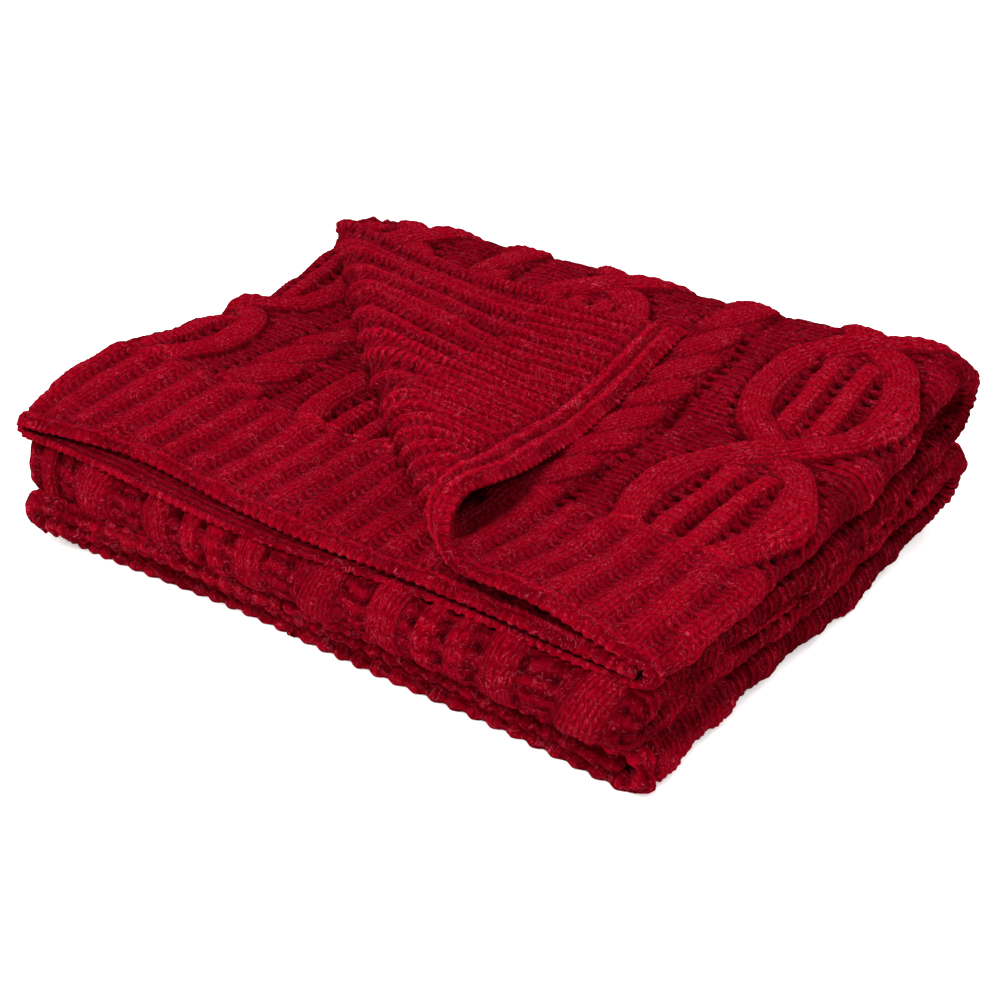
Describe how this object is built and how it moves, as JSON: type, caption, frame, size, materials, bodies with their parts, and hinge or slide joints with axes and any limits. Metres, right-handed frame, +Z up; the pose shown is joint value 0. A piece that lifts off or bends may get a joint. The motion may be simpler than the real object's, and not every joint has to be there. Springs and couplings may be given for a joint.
{
  "type": "knit throw blanket",
  "caption": "Cable-knit throw with ribbed ends, folded into a thick stack of layers, with the top layer's corner turned back.",
  "frame": {"origin": "middle of the bounding box at the base, on the surface that the folded throw rests on", "axes": "+X along the longer side of the folded stack, +Y from the edge with the knitted ends to the edge with the two large loops, +Z up"},
  "size_m": [0.4332, 0.3418, 0.1166],
  "materials": {
    "knit": "velvety chenille yarn, deep crimson"
  },
  "bodies": {
    "root": {"throw": "knit"}
  },
  "joints": []
}
